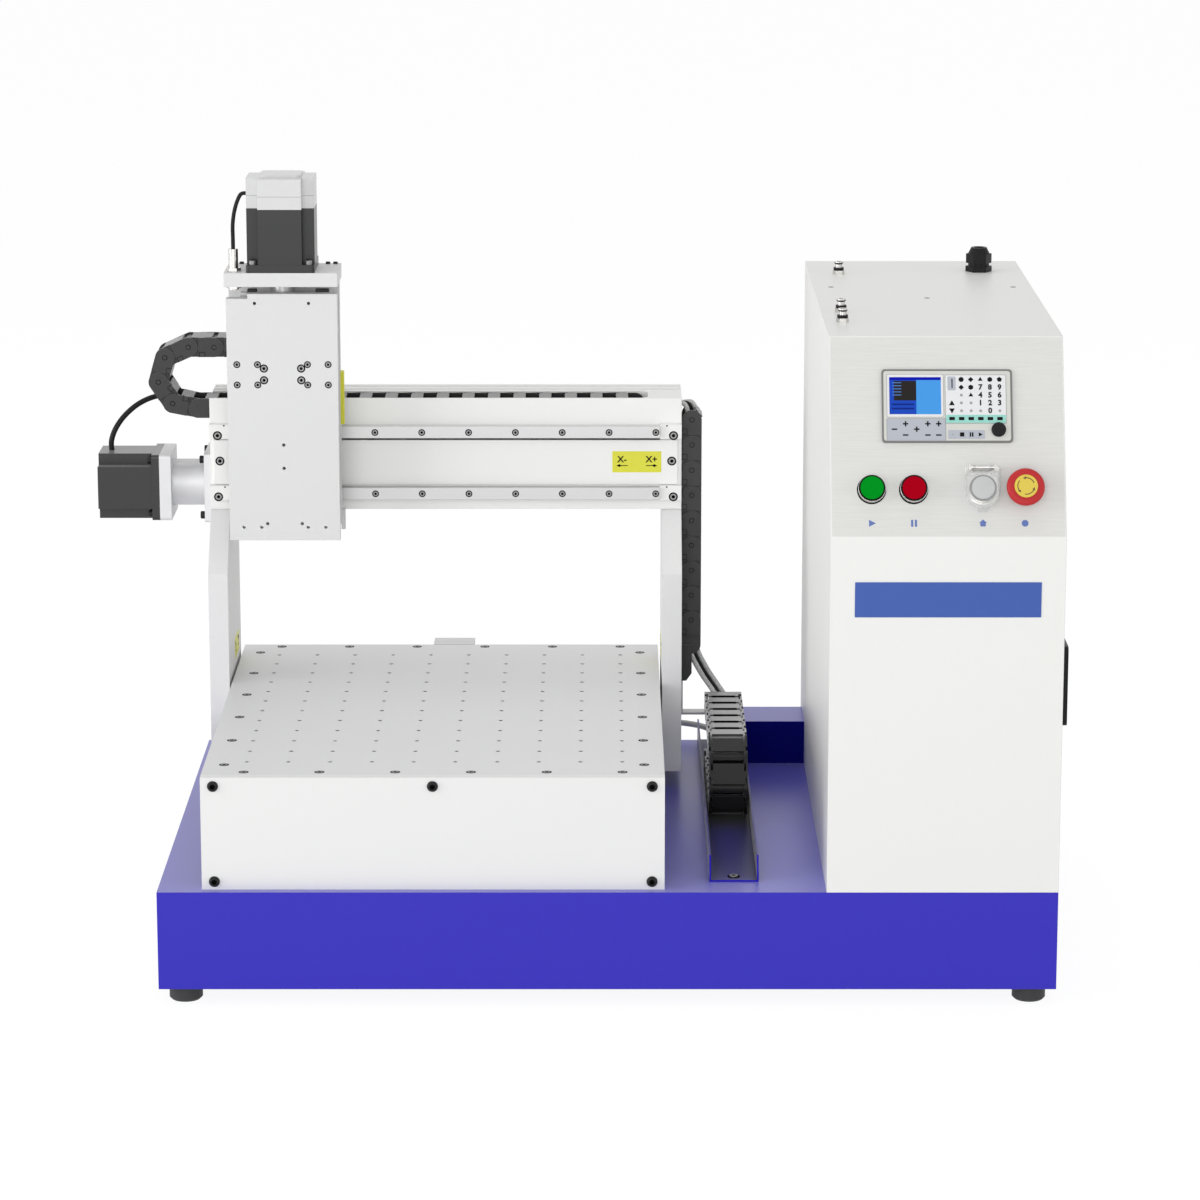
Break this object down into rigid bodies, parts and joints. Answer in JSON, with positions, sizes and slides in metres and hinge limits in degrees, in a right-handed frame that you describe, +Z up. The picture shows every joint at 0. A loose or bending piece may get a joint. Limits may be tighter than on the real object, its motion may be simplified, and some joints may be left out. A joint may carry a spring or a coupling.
{
  "type": "desktop dispensing robot",
  "caption": "Desktop dispensing robot: drilled work table, moving gantry with carriage and vertical tool slide, cable chains and a control cabinet on one base.",
  "frame": {"origin": "middle of the base's footprint on the bench top", "axes": "+X to the right seen from the front, +Y to the rear, +Z up; gantry at the rear, carriage at the left, tool slide up"},
  "size_m": [1.2035, 0.8492, 0.935],
  "materials": {
    "blue_enamel": "semi-gloss enamel",
    "rubber": "matte",
    "bead_blasted_alloy": "bead blasted",
    "white_enamel": "satin enamel",
    "rail_steel": "ground",
    "block_steel": "ground",
    "motor_black": "satin",
    "cream_enamel": "white enamel, satin",
    "bell_alloy": "turned",
    "chain_nylon": "moulded",
    "bracket_steel": "satin",
    "cable_black": "matte",
    "loom_grey": "matte",
    "nickel": "nickel plated",
    "electronics_alloy": "brushed",
    "controller_grey": "fine grain",
    "usb_black": "matte",
    "button_green": "gloss",
    "button_red": "gloss",
    "button_grey": "gloss",
    "guard_clear": "clear moulded plastic",
    "stem_black": "moulded",
    "trim_black": "moulded"
  },
  "bodies": {
    "base": {"base_frame": "blue_enamel", "bottom_cover": "blue_enamel", "feet": "rubber", "table_plate": "bead_blasted_alloy", "table_front_plate": "white_enamel", "table_rear_plate": "white_enamel", "table_side_beams": "bead_blasted_alloy", "y_rails": "rail_steel", "y_motor": "motor_black", "y_motor_cable": "loom_grey", "chain_tray": "blue_enamel", "y_chain_lower_run": "chain_nylon", "cabinet_shell": "white_enamel", "cabinet_rear_panel": "white_enamel", "drive_electronics": "electronics_alloy", "controller": "controller_grey", "button_bezels": "nickel", "air_fittings": "nickel", "cable_gland": "trim_black", "vent_cover": "trim_black"},
    "gantry": {"left_column": "cream_enamel", "right_column": "cream_enamel", "bridge_plate": "bead_blasted_alloy", "y_blocks": "block_steel", "beam": "cream_enamel", "beam_cover": "cream_enamel", "x_rails": "rail_steel", "x_bell_housing": "bell_alloy", "x_motor": "motor_black", "x_chain_lower_run": "chain_nylon", "x_chain_rolling_links": "chain_nylon", "riser_chain": "chain_nylon", "x_motor_cable": "cable_black", "loom": "loom_grey", "y_chain_upper_run": "chain_nylon", "chain_bracket": "bracket_steel"},
    "x_carriage": {"carriage_plate": "cream_enamel", "x_blocks": "block_steel", "x_nut_bracket": "block_steel", "z_rails": "rail_steel", "z_motor_plate": "cream_enamel", "z_motor": "motor_black", "limit_sensor": "nickel", "sensor_cable": "cable_black", "x_chain_upper_run": "chain_nylon"},
    "z_slide": {"z_blocks": "block_steel", "z_nut_block": "block_steel", "tool_plate": "cream_enamel"},
    "y_screw": {"y_screw": "rail_steel"},
    "x_screw": {"x_screw": "rail_steel"},
    "z_screw": {"z_screw": "rail_steel"},
    "y_chain_loop": {"y_chain_loop": "chain_nylon"},
    "x_chain_loop": {"x_chain_loop": "chain_nylon"},
    "run_button": {"run_button": "button_green"},
    "pause_button": {"pause_button": "button_red"},
    "home_button": {"home_button": "button_grey"},
    "home_guard": {"home_guard": "guard_clear"},
    "stop_stem": {"stop_stem": "stem_black"},
    "stop_head": {"stop_head": "button_red"},
    "usb_cap": {"usb_cap": "usb_black"}
  },
  "joints": [
    {"name": "y_slide", "type": "slide", "parent": "base", "child": "gantry", "axis": [0, -1, 0], "range_m": [0, 0.396], "deforming": ["y_chain_upper_run"]},
    {"name": "y_screw_spin", "type": "hinge", "parent": "base", "child": "y_screw", "pos_m": [-0.207, 0, 0.21], "axis": [0, 1, 0], "range_deg": [0, 14256.01]},
    {"name": "y_chain_roll", "type": "slide", "parent": "base", "child": "y_chain_loop", "axis": [0, -1, 0], "range_m": [0, 0.198]},
    {"name": "x_slide", "type": "slide", "parent": "gantry", "child": "x_carriage", "axis": [1, 0, 0], "range_m": [0, 0.396], "deforming": ["x_chain_rolling_links"]},
    {"name": "x_screw_spin", "type": "hinge", "parent": "gantry", "child": "x_screw", "pos_m": [0, 0.2345, 0.519], "axis": [1, 0, 0], "range_deg": [-14256.01, 0]},
    {"name": "x_chain_roll", "type": "slide", "parent": "gantry", "child": "x_chain_loop", "axis": [1, 0, 0], "range_m": [0, 0.198]},
    {"name": "z_slide_travel", "type": "slide", "parent": "x_carriage", "child": "z_slide", "axis": [0, 0, -1], "range_m": [0, 0.12]},
    {"name": "z_screw_spin", "type": "hinge", "parent": "x_carriage", "child": "z_screw", "pos_m": [-0.409, 0.1275, 0.64], "axis": [0, 0, 1], "range_deg": [0, 8640.01]},
    {"name": "home_guard_flip", "type": "hinge", "parent": "base", "child": "home_guard", "pos_m": [0.4375, -0.3348, 0.64844], "axis": [-1, 0, 0], "range_deg": [0, 110]},
    {"name": "usb_cap_pull", "type": "slide", "parent": "base", "child": "usb_cap", "axis": [0, -0.9179, 0.3969], "range_m": [0, 0.012]},
    {"name": "stop_push", "type": "slide", "parent": "base", "child": "stop_stem", "axis": [0, 0.9179, -0.3969], "range_m": [0, 0.006], "stiffness_N_per_m": 600},
    {"name": "stop_twist", "type": "hinge", "parent": "stop_stem", "child": "stop_head", "pos_m": [0.4865, -0.35114, 0.62827], "axis": [0, -0.9179, 0.3969], "range_deg": [0, 45], "stiffness_Nm_per_rad": 0.02},
    {"name": "run_button_press", "type": "slide", "parent": "base", "child": "run_button", "axis": [0, 0.9179, -0.3969], "range_m": [0, 0.004], "stiffness_N_per_m": 300},
    {"name": "pause_button_press", "type": "slide", "parent": "base", "child": "pause_button", "axis": [0, 0.9179, -0.3969], "range_m": [0, 0.004], "stiffness_N_per_m": 300},
    {"name": "home_button_press", "type": "slide", "parent": "base", "child": "home_button", "axis": [0, 0.9179, -0.3969], "range_m": [0, 0.004], "stiffness_N_per_m": 300}
  ],
  "couplings": [
    {"joint": "y_screw_spin", "follows": "y_slide", "rad_per_m": 628.32},
    {"joint": "y_chain_roll", "follows": "y_slide", "ratio": 0.5},
    {"joint": "x_screw_spin", "follows": "x_slide", "rad_per_m": -628.32},
    {"joint": "x_chain_roll", "follows": "x_slide", "ratio": 0.5},
    {"joint": "z_screw_spin", "follows": "z_slide_travel", "rad_per_m": 1256.6}
  ]
}
